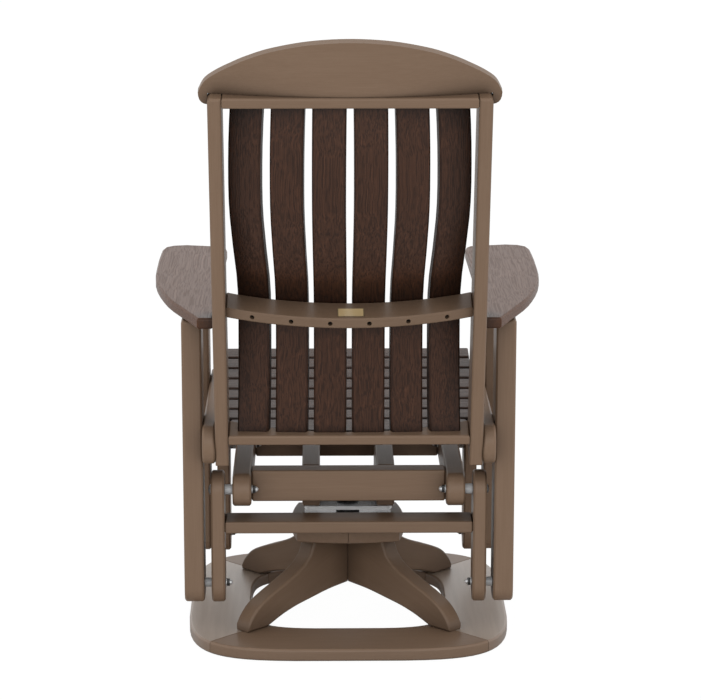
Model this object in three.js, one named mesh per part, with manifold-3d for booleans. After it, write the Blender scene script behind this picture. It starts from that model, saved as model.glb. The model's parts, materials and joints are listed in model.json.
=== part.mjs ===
// A swivel glider chair in poly lumber, standing at rest.
// Millimetres, +Z up. The sitter faces -Y, and the back leans towards +Y.
// The swivel axis is the line x = 0, y = 0 while the model is built. At the end the whole chair is
// shifted along Y, so that the origin is under the middle of its bounding box, on the floor.
import * as THREE from 'three'
import Module from 'manifold-3d'
import { mergeVertices } from 'three/addons/utils/BufferGeometryUtils.js'

const wasm = await Module()
wasm.setup()

// Clearances and small finishing sizes
const gap = 0.3
const cutOverrun = 6
const edgeRound = 3.2
const slimEdgeRound = 2.5
const slatEndRound = 1.5
const bevelSteps = 1
const cornerSteps = 2
const curveSteps = 5
const splineSteps = 3

// Base ring of four mitred boards
const ringHalf = 284.3
const ringHalfDeep = 289
const ringInnerHalf = 175
const ringInnerHalfDeep = 170.5
const ringMiddleY = -1.5
const ringThick = 22
const ringOuterPower = 4.2
const ringInnerPower = 4.2
const ringSteps = 64

// Hub and its four splayed base legs
const hubHalf = 101.5
const hubCornerHalf = 91
const hubThick = 22
const hubTop = 177
const hubSeamWide = 0.8
const hubSeamDeep = 2
const baseLegThick = 33.5
const baseLegReach = 265

// Swivel bearing
const swivelPlateHalf = 78
const swivelPlateCorner = 14
const swivelSheet = 3
const swivelFlange = 6.6
const housingRadius = 18
const spindleRadius = 12
const spindleLength = 26

// Turning frame that the links hang from
const bearerInner = 50
const bearerThick = 31.5
const bearerHeight = 82.6
const bearerEndLong = 24
const bearerEndHigh = 9
const frameSideInner = 170
const frameSideThick = 32.5
const frameSideHeight = 58
const frameSideFrontReach = 205
const frameSideFrontCorner = 12
const crossThick = 38
const crossHeight = 56
const crossRearFace = 139
const crossFrontFace = -164

// Links, their pivots and the board between the rear links
const pivotY = 155
const pivotLowZ = 102
const linkSpan = 169.5
const linkRound = 34
const linkInner = 216.5
const linkThick = 23.5
const spreaderDeep = 62
const spreaderThick = 21
const spreaderBelowPivot = 61.5
const boltRadius = 5
const boreClearance = 0.6
const upperSpacerRadius = 9
const lowerSpacerRadius = 8.2
const headRadius = 9
const headLength = 5
const washerRadius = 7.6
const washerThick = 2
const nutRadius = 6.8
const nutLength = 6.5
const studRadius = 4.2
const studLength = 3.5
const counterboreRadius = 11
const latheSteps = 14

// Chair sides
const legInner = 252.5
const legThick = 34.5
const legDeep = 80
const legFootRound = 27
const legTopRound = 6
const legFootReach = 29.5
const seatSideTop = 399
const seatSideHeight = 67
const seatSideRear = 232
const seatSideFront = -235
const seatSideRearCorner = 30
const seatSideFrontCorner = 12
const postThick = 22.5

// Seat slats on two contoured runners
const seatFrontY = -262
const seatFrontZ = 430
const seatRearY = 200
const seatRearZ = 386
const seatDipY = -10
const seatDipZ = 395.4
const seatSlatCount = 7
const seatSlatWide = 50
const seatSlatSpacing = 5.5
const seatSlatThick = 19
const seatSlatRound = 5
const rearSlatBack = 193
const rearSlatSide = 153
const runnerThick = 22.3
const runnerDeep = 30

// Back frame, leaning back about its foot
const backLean = THREE.MathUtils.degToRad(15.8)
const backFootY = 222
const backFootZ = 330
const postDeep = 85
const postLength = 684.5
const postChamferWide = 5
const postChamferHigh = 7
const backRailThick = 18.5
const bottomRailLow = 41
const lumbarTop = 302
const railRearInset = 2
const backArcRadius = 550
const backArcMiddle = -32
const lumbarDeep = 60
const backSlatWide = 55.5
const backSlatThick = 18
const backSlatBottom = 36
const slatBelowPostTop = 2
const backSlatPitch = 65
const screwHoleRadius = 4
const screwHoleDeep = 24
const slatStations = 18

// Bows of the back slats away from the lumbar line, as height and bow shares
const bowMax = 37
const bowShares = [[0, 0.33], [0.17, 0.08], [0.415, 0], [0.56, 0.55], [0.7, 1], [0.86, 0.9], [1, 0.46]]

// Head board: it bends gently, stands on the posts and the top rail, and its lobes hang outside the posts
const headHalf = 244.8
const headRise = 93.8
const headLobeDrop = 19.5
const headThick = 18
const headRearInset = 6
const headBendRadius = 1350
const headBendSteps = 24
// Arch of the head board from its widest point up to its top, as half-width and rise shares
const headArchShares = [[0.96, 0.2], [0.889, 0.355], [0.789, 0.509], [0.671, 0.662], [0.511, 0.816], [0.268, 0.952]]

// Arms
const armRearY = 252
const armRearZ = 578.5
const armLength = 552
const armSlope = THREE.MathUtils.degToRad(2.4)
const armThick = 19.5
const armOuterHalf = 344.5
const armFrontInner = 222
const armFrontCorner = 22
// Outer edge of an arm from its rear end forwards, as length shares and outward shares
const armEdgeShares = [[0, 0], [0.1, 0.26], [0.27, 0.67], [0.5, 0.965], [0.75, 1.01], [0.93, 0.985]]

// Outline of a base leg, as shares of its reach and of its rise from the ring to the hub
const legTopShares = [[0.377, 1], [0.42, 0.813], [0.498, 0.677], [0.645, 0.5415], [0.785, 0.432],
  [0.895, 0.322], [0.965, 0.19], [1, 0.075]]
const legUnderShares = [[0.815, 0], [0.679, 0.099], [0.547, 0.164], [0.395, 0.2115], [0.222, 0.259], [0, 0.286]]

// Places that follow from the sizes above
const pivotHighZ = pivotLowZ + linkSpan
const boreRadius = boltRadius + boreClearance
const hubUnderside = hubTop - hubThick
const frameTop = pivotHighZ + frameSideHeight / 2
const bearerBottom = frameTop - bearerHeight
const crossRearInner = crossRearFace - crossThick
const linkOuter = linkInner + linkThick
const seatSideInner = legInner - gap - postThick
const postInner = seatSideInner - gap - postThick
const postOuter = postInner + postThick
const backArcCentre = backArcMiddle - backArcRadius
const backSlatTop = postLength - slatBelowPostTop

// Finishes
const taupe = new THREE.MeshStandardMaterial({ color: 0x7a6552, roughness: 0.55, metalness: 0 })
const grained = new THREE.MeshStandardMaterial({ color: 0x3d2e27, roughness: 0.6, metalness: 0 })
const armGrain = new THREE.MeshStandardMaterial({ color: 0x6d5a4e, roughness: 0.6, metalness: 0 })
const steel = new THREE.MeshStandardMaterial({ color: 0xb9bcbd, roughness: 0.35, metalness: 1 })

const chair = new THREE.Group()

// Solids for cutting and joining
function toSolid (geometry) {
  const plain = geometry.clone()
  plain.deleteAttribute('normal')
  plain.deleteAttribute('uv')
  const merged = mergeVertices(plain)
  return new wasm.Manifold(new wasm.Mesh({
    numProp: 3,
    vertProperties: new Float32Array(merged.attributes.position.array),
    triVerts: new Uint32Array(merged.index.array)
  }))
}

function fromSolid (solid) {
  const mesh = solid.getMesh()
  const geometry = new THREE.BufferGeometry()
  geometry.setAttribute('position', new THREE.BufferAttribute(mesh.vertProperties, mesh.numProp))
  geometry.setIndex(new THREE.BufferAttribute(mesh.triVerts, 1))
  geometry.computeVertexNormals()
  return geometry
}

// A closed outline whose corners are [x, y, radius], listed counter-clockwise
function roundedShape (corners) {
  const shape = new THREE.Shape()
  corners.forEach(([x, y, radius], index) => {
    const before = corners[(index + corners.length - 1) % corners.length]
    const after = corners[(index + 1) % corners.length]
    const corner = new THREE.Vector2(x, y)
    const toBefore = new THREE.Vector2(before[0] - x, before[1] - y).normalize()
    const toAfter = new THREE.Vector2(after[0] - x, after[1] - y).normalize()
    const halfAngle = Math.acos(toBefore.dot(toAfter)) / 2
    const start = corner.clone().addScaledVector(toBefore, radius / Math.tan(halfAngle))
    const end = corner.clone().addScaledVector(toAfter, radius / Math.tan(halfAngle))
    if (index === 0) shape.moveTo(start.x, start.y)
    if (radius === 0) {
      if (index > 0) shape.lineTo(x, y)
      return
    }
    const middle = toBefore.clone().add(toAfter).normalize()
    const centre = corner.clone().addScaledVector(middle, radius / Math.sin(halfAngle))
    const from = start.sub(centre).angle()
    const to = end.sub(centre).angle()
    shape.absarc(centre.x, centre.y, radius, from, to, toBefore.cross(toAfter) > 0)
  })
  shape.closePath()
  return shape
}

function boxShape (left, right, low, high, radius) {
  return roundedShape([[left, low, radius], [right, low, radius], [right, high, radius], [left, high, radius]])
}

// The same outline for the left (1) or the right (-1) side, still counter-clockwise
function mirrored (corners, side) {
  const flipped = corners.map(([x, y, radius]) => [side * x, y, radius])
  return side > 0 ? flipped : flipped.reverse()
}

// A board with rounded edges: the outline lies in its XY plane, and its thickness runs from 0 up Z
function boardGeometry (shape, thick, round, steps) {
  const geometry = new THREE.ExtrudeGeometry(shape, {
    depth: thick - round - round,
    bevelEnabled: true,
    bevelThickness: round,
    bevelSize: round,
    bevelOffset: -round,
    bevelSegments: bevelSteps,
    curveSegments: steps
  })
  geometry.translate(0, 0, round)
  return geometry
}

// Turns a board so that its outline's x and y run along two directions, from an origin
function layBoard (geometry, alongX, alongY, origin) {
  const through = new THREE.Vector3().crossVectors(alongX, alongY)
  const matrix = new THREE.Matrix4().makeBasis(alongX, alongY, through).setPosition(origin)
  return geometry.applyMatrix4(matrix)
}

const axisX = new THREE.Vector3(1, 0, 0)
const axisY = new THREE.Vector3(0, 1, 0)
const axisZ = new THREE.Vector3(0, 0, 1)

// A board whose outline is seen from the side, from x = start to x = start + thick
function sideBoard (shape, start, thick, round, steps) {
  const origin = new THREE.Vector3(start, 0, 0)
  return layBoard(boardGeometry(shape, thick, round, steps), axisY, axisZ, origin)
}

// A board whose outline is seen from above, from z = low to z = low + thick
function planBoard (shape, low, thick, round, steps) {
  return boardGeometry(shape, thick, round, steps).translate(0, 0, low)
}

// Start of a board of a given thickness whose inner face is at |x| = inner, on either side
function sideStart (side, inner, thick) {
  return side > 0 ? inner : -inner - thick
}

function add (parent, name, geometry, material) {
  const mesh = new THREE.Mesh(geometry, material)
  mesh.name = name
  parent.add(mesh)
  return mesh
}

// A cylinder along X, to cut a bore
function crossBore (radius, startX, endX, y, z) {
  const geometry = new THREE.CylinderGeometry(radius, radius, endX - startX, latheSteps)
  geometry.rotateZ(Math.PI / 2).translate((startX + endX) / 2, y, z)
  return toSolid(geometry)
}

const sides = [['left', 1], ['right', -1]]
const ends = [['rear', 1], ['front', -1]]

// Base ring: one rounded frame, cut into four boards along its mitres
function roundedSquare (halfWide, halfDeep, power, steps) {
  const points = []
  for (let step = 0; step < steps; step++) {
    const angle = 2 * Math.PI * step / steps
    const across = Math.abs(Math.cos(angle)) ** (2 / power) * Math.sign(Math.cos(angle))
    const along = Math.abs(Math.sin(angle)) ** (2 / power) * Math.sign(Math.sin(angle))
    points.push(new THREE.Vector2(halfWide * across, ringMiddleY + halfDeep * along))
  }
  return points
}

function addRing () {
  const shape = new THREE.Shape(roundedSquare(ringHalf, ringHalfDeep, ringOuterPower, ringSteps))
  const hole = roundedSquare(ringInnerHalf, ringInnerHalfDeep, ringInnerPower, ringSteps).reverse()
  shape.holes.push(new THREE.Path(hole))
  const ring = toSolid(planBoard(shape, 0, ringThick, edgeRound, curveSteps))
  const names = ['base_ring_right', 'base_ring_rear', 'base_ring_left', 'base_ring_front']
  names.forEach((name, index) => {
    // A wedge with its point just off the middle, opening towards one side of the ring
    const reach = 2 * ringHalf
    const wedge = new THREE.Shape([new THREE.Vector2(gap, 0), new THREE.Vector2(reach, gap - reach),
      new THREE.Vector2(reach, reach - gap)])
    const prism = new THREE.ExtrudeGeometry(wedge, { depth: ringThick + 2 * cutOverrun, bevelEnabled: false })
    prism.translate(0, 0, -cutOverrun).rotateZ(Math.PI + index * -Math.PI / 2)
    add(chair, name, fromSolid(ring.intersect(toSolid(prism))), taupe)
  })
}

// Base legs: boards on the diagonals, mitred where they meet under the hub
function addBaseLegs () {
  const rise = hubUnderside - gap - ringThick - gap
  const place = ([reachShare, riseShare]) =>
    new THREE.Vector2(reachShare * baseLegReach, ringThick + gap + riseShare * rise)
  const shape = new THREE.Shape()
  shape.moveTo(0, hubUnderside - gap)
  const under = legUnderShares.map(place)
  shape.lineTo(0, under[under.length - 1].y)
  shape.splineThru(under.slice(0, -1).reverse())
  shape.lineTo(baseLegReach, ringThick + gap)
  const top = legTopShares.map(place).reverse()
  shape.lineTo(top[0].x, top[0].y)
  shape.splineThru(top.slice(1, -1))
  shape.lineTo(top[top.length - 1].x, top[top.length - 1].y)
  shape.closePath()
  const names = ['base_leg_rear_left', 'base_leg_rear_right', 'base_leg_front_right', 'base_leg_front_left']
  names.forEach((name, index) => {
    const board = boardGeometry(shape, baseLegThick, edgeRound, splineSteps)
    board.translate(0, 0, -baseLegThick / 2)
    layBoard(board, axisX, axisZ, new THREE.Vector3())
    board.rotateZ(Math.PI / 4)
    const quarter = new THREE.BoxGeometry(ringHalf, ringHalf, 2 * hubTop)
    quarter.translate(ringHalf / 2 + gap / 2, ringHalf / 2 + gap / 2, 0)
    const leg = fromSolid(toSolid(board).intersect(toSolid(quarter)))
    add(chair, name, leg.rotateZ(index * Math.PI / 2), taupe)
  })
}

// Hub plate: a square with bowed sides, with the seam between its two halves
function addHub () {
  const bow = hubHalf - hubCornerHalf
  const radius = (hubCornerHalf ** 2 + bow ** 2) / (2 * bow)
  const spread = Math.asin(hubCornerHalf / radius)
  const shape = new THREE.Shape()
  for (let index = 0; index < 4; index++) {
    const facing = index * Math.PI / 2
    const centre = new THREE.Vector2(hubHalf - radius, 0).rotateAround(new THREE.Vector2(), facing)
    shape.absarc(centre.x, centre.y, radius, facing - spread, facing + spread, false)
  }
  shape.closePath()
  let plate = toSolid(planBoard(shape, hubUnderside, hubThick, slimEdgeRound, curveSteps))
  for (const [, end] of ends) {
    const groove = new THREE.BoxGeometry(hubSeamWide, hubSeamDeep + cutOverrun, hubThick + 2 * cutOverrun)
    groove.translate(0, end * (hubHalf - hubSeamDeep + (hubSeamDeep + cutOverrun) / 2), hubUnderside + hubThick / 2)
    plate = plate.subtract(toSolid(groove))
  }
  add(chair, 'hub_plate', fromSolid(plate), taupe)
}

// Swivel bearing: a fixed plate with a housing, and a turning plate with a spindle
const swivelTop = bearerBottom - gap
const swivelCeiling = swivelTop - swivelSheet
const swivelFloor = hubTop + gap + swivelSheet

function swivelSquare (inset) {
  const half = swivelPlateHalf - inset
  return boxShape(-half, half, -half, half, swivelPlateCorner - inset)
}

function addSwivel () {
  const housing = new THREE.LatheGeometry([
    new THREE.Vector2(spindleRadius + gap, hubTop + gap), new THREE.Vector2(housingRadius, hubTop + gap),
    new THREE.Vector2(housingRadius, swivelCeiling - gap),
    new THREE.Vector2(spindleRadius + gap, swivelCeiling - gap),
    new THREE.Vector2(spindleRadius + gap, hubTop + gap)
  ], 2 * latheSteps)
  housing.rotateX(Math.PI / 2)
  const lower = new THREE.ExtrudeGeometry(swivelSquare(0), { depth: swivelSheet, bevelEnabled: false,
    curveSegments: curveSteps })
  lower.translate(0, 0, hubTop + gap)
  add(chair, 'swivel_plate_fixed', fromSolid(toSolid(lower).add(toSolid(housing))), steel)

  const tray = new THREE.ExtrudeGeometry(swivelSquare(0), { depth: swivelFlange, bevelEnabled: false,
    curveSegments: curveSteps })
  tray.translate(0, 0, swivelTop - swivelFlange)
  const hollow = new THREE.ExtrudeGeometry(swivelSquare(swivelSheet), {
    depth: swivelFlange - swivelSheet + cutOverrun, bevelEnabled: false, curveSegments: curveSteps })
  hollow.translate(0, 0, swivelTop - swivelFlange - cutOverrun)
  const spindle = new THREE.CylinderGeometry(spindleRadius, spindleRadius, spindleLength + swivelSheet / 2,
    2 * latheSteps)
  spindle.rotateX(Math.PI / 2).translate(0, 0, swivelCeiling + swivelSheet / 2 - (spindleLength + swivelSheet / 2) / 2)
  const turning = toSolid(tray).subtract(toSolid(hollow)).add(toSolid(spindle))
  add(chair, 'swivel_plate_turning', fromSolid(turning), steel)
}

// Turning frame: two side rails with the pivots, two bearers and two cross boards
function addFrame () {
  const frameBottom = frameTop - frameSideHeight
  const profile = roundedShape([
    [-frameSideFrontReach, frameBottom, frameSideFrontCorner],
    [pivotY + frameSideHeight / 2, frameBottom, frameSideHeight / 2 - gap],
    [pivotY + frameSideHeight / 2, frameTop, frameSideHeight / 2 - gap],
    [-frameSideFrontReach, frameTop, frameSideFrontCorner]])
  const bearerFront = crossFrontFace + gap
  const bearerRear = crossRearInner - gap
  const bearerProfile = roundedShape([
    [bearerFront + bearerEndLong, bearerBottom, edgeRound], [bearerRear - bearerEndLong, bearerBottom, edgeRound],
    [bearerRear, bearerBottom + bearerEndHigh, edgeRound], [bearerRear, frameTop, edgeRound],
    [bearerFront, frameTop, edgeRound], [bearerFront, bearerBottom + bearerEndHigh, edgeRound]])
  for (const [name, side] of sides) {
    const start = sideStart(side, frameSideInner, frameSideThick)
    let rail = toSolid(sideBoard(profile, start, frameSideThick, edgeRound, curveSteps))
    for (const [, end] of ends) {
      rail = rail.subtract(crossBore(boreRadius, start - cutOverrun, start + frameSideThick + cutOverrun,
        end * pivotY, pivotHighZ))
    }
    add(chair, `frame_side_${name}`, fromSolid(rail), taupe)
    const bearer = sideBoard(bearerProfile, sideStart(side, bearerInner, bearerThick), bearerThick,
      slimEdgeRound, cornerSteps)
    add(chair, `frame_bearer_${name}`, bearer, taupe)
  }
  const crossHalf = frameSideInner - gap
  for (const [name, rearFace] of [['rear', crossRearFace], ['front', crossFrontFace]]) {
    const section = boxShape(rearFace - crossThick, rearFace, frameTop - crossHeight, frameTop, edgeRound)
    add(chair, `frame_cross_${name}`, sideBoard(section, -crossHalf, 2 * crossHalf, slimEdgeRound, cornerSteps),
      taupe)
  }
}

// Links: boards with round ends, bored at both pivots
function addLinks () {
  for (const [end, endSign] of ends) {
    const y = endSign * pivotY
    const shape = new THREE.Shape()
    shape.absarc(y, pivotHighZ, linkRound, 0, Math.PI, false)
    shape.absarc(y, pivotLowZ, linkRound, Math.PI, 2 * Math.PI, false)
    shape.closePath()
    for (const [name, side] of sides) {
      const start = sideStart(side, linkInner, linkThick)
      let link = toSolid(sideBoard(shape, start, linkThick, edgeRound, curveSteps))
      for (const z of [pivotLowZ, pivotHighZ]) {
        link = link.subtract(crossBore(boreRadius, start - cutOverrun, start + linkThick + cutOverrun, y, z))
      }
      add(chair, `link_${end}_${name}`, fromSolid(link), taupe)
    }
  }
  const spreaderTop = pivotHighZ - spreaderBelowPivot + spreaderThick / 2
  const section = boxShape(pivotY - spreaderDeep / 2, pivotY + spreaderDeep / 2, spreaderTop - spreaderThick,
    spreaderTop, edgeRound)
  const half = linkInner - gap
  add(chair, 'link_spreader', sideBoard(section, -half, 2 * half, slimEdgeRound, cornerSteps), taupe)
}

// Pivot hardware: a bolt with its head, spacer, washer and acorn nut, turned about the pivot's axis.
// The profile runs inwards from the head, as [radius, |x|] pairs.
function addPivot (name, profile, side, y, z) {
  const outer = profile[0][1]
  const points = profile.map(([radius, x]) => new THREE.Vector2(radius, outer - x))
  const geometry = new THREE.LatheGeometry(points, latheSteps)
  geometry.rotateZ(side * Math.PI / 2).translate(side * outer, y, z)
  add(chair, name, geometry, steel)
}

function nutProfile (seat) {
  const washerEnd = seat - washerThick
  const nutEnd = washerEnd - nutLength
  return [[washerRadius, seat], [washerRadius, washerEnd], [nutRadius, washerEnd], [nutRadius, nutEnd],
    [studRadius, nutEnd - studLength / 2], [0, nutEnd - studLength]]
}

function addPivots () {
  const upperHead = linkOuter + gap + headLength
  const upper = [[0, upperHead], [headRadius - gap, upperHead], [headRadius, linkOuter + gap],
    [boltRadius, linkOuter + gap], [boltRadius, linkInner - gap], [upperSpacerRadius, linkInner - gap],
    [upperSpacerRadius, frameSideInner + frameSideThick + gap], [boltRadius, frameSideInner + frameSideThick + gap],
    [boltRadius, frameSideInner - gap], ...nutProfile(frameSideInner - gap)]
  const lowerHead = legInner + legThick - gap
  const headSeat = lowerHead - headLength
  const lower = [[0, lowerHead], [headRadius, lowerHead], [headRadius, headSeat], [boltRadius, headSeat],
    [boltRadius, legInner - gap], [lowerSpacerRadius, legInner - gap], [lowerSpacerRadius, linkOuter + gap],
    [boltRadius, linkOuter + gap], [boltRadius, linkInner - gap], ...nutProfile(linkInner - gap)]
  for (const [end, endSign] of ends) {
    for (const [name, side] of sides) {
      addPivot(`pivot_upper_${end}_${name}`, upper, side, endSign * pivotY, pivotHighZ)
      addPivot(`pivot_lower_${end}_${name}`, lower, side, endSign * pivotY, pivotLowZ)
    }
  }
}

// Chair legs: uprights from below the lower pivots to the arms
function armUnderside (y) {
  return armRearZ + (armRearY - y) * Math.tan(armSlope)
}

function addLegs () {
  for (const [end, endSign] of ends) {
    const front = endSign * pivotY - legDeep / 2
    const rear = endSign * pivotY + legDeep / 2
    const foot = pivotLowZ - legFootReach
    const profile = roundedShape([[front, foot, legFootRound], [rear, foot, legFootRound],
      [rear, armUnderside(rear) - gap, legTopRound], [front, armUnderside(front) - gap, legTopRound]])
    for (const [name, side] of sides) {
      const start = sideStart(side, legInner, legThick)
      let leg = toSolid(sideBoard(profile, start, legThick, edgeRound, curveSteps))
      leg = leg.subtract(crossBore(boreRadius, start - cutOverrun, start + legThick + cutOverrun,
        endSign * pivotY, pivotLowZ))
      const recessInner = legInner + legThick - headLength - 2 * gap
      const recessOuter = legInner + legThick + cutOverrun
      const recess = [side * recessInner, side * recessOuter].sort((a, b) => a - b)
      leg = leg.subtract(crossBore(counterboreRadius, recess[0], recess[1], endSign * pivotY, pivotLowZ))
      add(chair, `leg_${end}_${name}`, fromSolid(leg), taupe)
    }
  }
}

// Seat: side rails, contoured runners, seven straight slats and one that follows the back
const seatCurve = new THREE.QuadraticBezierCurve(new THREE.Vector2(seatFrontY, seatFrontZ),
  new THREE.Vector2(seatDipY, seatDipZ), new THREE.Vector2(seatRearY, seatRearZ))

// Front and rear top corners of each seat slat, [[front, rear], ...], spaced along the curve
function seatSlatEdges () {
  const length = seatCurve.getLength()
  const pitch = seatSlatWide + seatSlatSpacing
  const edges = []
  for (let index = 0; index < seatSlatCount; index++) {
    const front = seatCurve.getPointAt(index * pitch / length)
    const rear = seatCurve.getPointAt((index * pitch + seatSlatWide) / length)
    edges.push([front, rear])
  }
  edges.push([seatCurve.getPointAt(seatSlatCount * pitch / length), seatCurve.getPointAt(1)])
  return edges
}

function below (point, front, rear, depth) {
  const along = rear.clone().sub(front).normalize()
  return point.clone().add(new THREE.Vector2(along.y, -along.x).multiplyScalar(depth))
}

function addSeat () {
  const sideProfile = roundedShape([
    [seatSideFront, seatSideTop - seatSideHeight, seatSideFrontCorner],
    [seatSideRear, seatSideTop - seatSideHeight, seatSideRearCorner],
    [seatSideRear, seatSideTop, seatSideRearCorner], [seatSideFront, seatSideTop, seatSideFrontCorner]])
  const edges = seatSlatEdges()
  const runnerTop = []
  for (const [front, rear] of edges.slice(0, seatSlatCount)) {
    runnerTop.push(below(front, front, rear, seatSlatThick + gap), below(rear, front, rear, seatSlatThick + gap))
  }
  const runnerUnder = runnerTop.map(point => new THREE.Vector2(point.x, point.y - runnerDeep))
  const runnerShape = new THREE.Shape([...runnerUnder, ...runnerTop.reverse()])
  for (const [name, side] of sides) {
    const rail = sideBoard(sideProfile, sideStart(side, seatSideInner, postThick), postThick, edgeRound, curveSteps)
    add(chair, `seat_side_${name}`, rail, taupe)
    const start = sideStart(side, postInner - gap - runnerThick, runnerThick)
    add(chair, `seat_runner_${name}`, sideBoard(runnerShape, start, runnerThick, slimEdgeRound, cornerSteps), taupe)
  }
  const slatHalf = seatSideInner - gap
  edges.slice(0, seatSlatCount).forEach(([front, rear], index) => {
    const section = boxShape(0, seatSlatWide, -seatSlatThick, 0, seatSlatRound)
    const slat = sideBoard(section, -slatHalf, 2 * slatHalf, slatEndRound, cornerSteps)
    slat.rotateX(rear.clone().sub(front).angle()).translate(0, front.x, front.y)
    add(chair, `seat_slat_${index + 1}`, slat, grained)
  })
  addRearSeatSlat(edges[seatSlatCount])
}

// The last seat slat lies between the posts, and its rear edge is bowed to follow the back
function addRearSeatSlat ([front, rear]) {
  const half = postInner - gap
  const bow = rearSlatBack - rearSlatSide
  const radius = (half ** 2 + bow ** 2) / (2 * bow)
  const reach = rearSlatBack - front.x
  const angle = Math.acos(half / radius)
  const shape = new THREE.Shape()
  shape.moveTo(-half, 0)
  shape.lineTo(half, 0)
  shape.absarc(0, reach - radius, radius, angle, Math.PI - angle, false)
  shape.closePath()
  const slat = boardGeometry(shape, seatSlatThick, edgeRound, 2 * curveSteps).translate(0, 0, -seatSlatThick)
  slat.rotateX(rear.clone().sub(front).angle()).translate(0, front.x, front.y)
  add(chair, 'seat_slat_8', slat, grained)
}

// Back frame. In its group, local Y is depth with the posts' rear faces at 0, and local Z runs up the posts.
const back = new THREE.Group()
back.position.set(0, backFootY, backFootZ)
back.rotation.x = -backLean
chair.add(back)

// Rear line of a back slat, as points of bow behind the lumbar line and height up the posts
const slatLine = new THREE.SplineCurve(bowShares.map(([heightShare, bowShare]) => new THREE.Vector2(
  bowShare * bowMax, THREE.MathUtils.lerp(backSlatBottom, backSlatTop, heightShare)))).getPoints(slatStations)

function slatBow (height) {
  const index = Math.max(1, slatLine.findIndex(point => point.y >= height))
  const from = slatLine[index - 1]
  const to = slatLine[index]
  return THREE.MathUtils.mapLinear(height, from.y, to.y, from.x, to.x)
}

// Plan of a back rail: its front edge follows the slats, and its rear edge is straight or bowed alike
function railShape (frontRadius, rearLine, rearRadius) {
  const half = postInner - gap
  const frontAngle = Math.acos(half / frontRadius)
  const shape = new THREE.Shape()
  shape.absarc(0, backArcCentre, frontRadius, Math.PI - frontAngle, frontAngle, true)
  if (rearRadius > 0) {
    const rearAngle = Math.acos(half / rearRadius)
    shape.absarc(0, rearLine - rearRadius, rearRadius, rearAngle, Math.PI - rearAngle, false)
  } else {
    shape.lineTo(half, rearLine)
    shape.lineTo(-half, rearLine)
  }
  shape.closePath()
  return shape
}

// Flat slats touch a bowed rail along their long edges, so the rail stays clear of those
const slatCornerReach = Math.hypot(backArcRadius, backSlatWide / 2) - backArcRadius

function railFrontRadius (low) {
  return backArcRadius + Math.max(slatBow(low), slatBow(low + backRailThick)) + slatCornerReach + gap
}

const backSlatAngles = [-2.5, -1.5, -0.5, 0.5, 1.5, 2.5].map(place => Math.asin(place * backSlatPitch / backArcRadius))

function radial (angle) {
  return new THREE.Vector3(Math.sin(angle), Math.cos(angle), 0)
}

function addBackRails () {
  for (const [name, low] of [['bottom', bottomRailLow], ['top', postLength - backRailThick]]) {
    const shape = railShape(railFrontRadius(low), -railRearInset, 0)
    add(back, `back_rail_${name}`, planBoard(shape, low, backRailThick, slimEdgeRound, 2 * curveSteps), taupe)
  }
  const rearLine = backArcMiddle + lumbarDeep
  const shape = railShape(railFrontRadius(lumbarTop - backRailThick), rearLine, backArcRadius)
  let rail = toSolid(planBoard(shape, lumbarTop - backRailThick, backRailThick, slimEdgeRound, 2 * curveSteps))
  for (const angle of backSlatAngles) {
    const hole = new THREE.CylinderGeometry(screwHoleRadius, screwHoleRadius, screwHoleDeep + cutOverrun, latheSteps)
    const mouth = new THREE.Vector3(0, rearLine - backArcRadius, lumbarTop - backRailThick / 2)
    const distance = backArcRadius - screwHoleDeep + (screwHoleDeep + cutOverrun) / 2
    mouth.addScaledVector(radial(angle), distance)
    hole.rotateZ(-angle).translate(mouth.x, mouth.y, mouth.z)
    rail = rail.subtract(toSolid(hole))
  }
  add(back, 'back_rail_lumbar', fromSolid(rail), taupe)
}

function addBackSlats () {
  const front = slatLine.map(point => new THREE.Vector2(point.x - backSlatThick, point.y)).reverse()
  const shape = new THREE.Shape([...slatLine, ...front])
  backSlatAngles.forEach((angle, index) => {
    const slat = boardGeometry(shape, backSlatWide, edgeRound, cornerSteps).translate(0, 0, -backSlatWide / 2)
    const origin = radial(angle).multiplyScalar(backArcRadius)
    origin.y += backArcCentre
    add(back, `back_slat_${index + 1}`, layBoard(slat, radial(angle), axisZ, origin), grained)
  })
}

function addPosts () {
  for (const [name, side] of sides) {
    const corners = mirrored([[postInner, 0, 0], [postOuter, 0, 0], [postOuter, postLength - postChamferHigh, 0],
      [postOuter - postChamferWide, postLength, 0], [postInner, postLength, 0]], side)
    const post = boardGeometry(roundedShape(corners), postDeep, edgeRound, cornerSteps)
    add(back, `back_post_${name}`, layBoard(post, axisX, axisZ, new THREE.Vector3()), taupe)
  }
}

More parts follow.
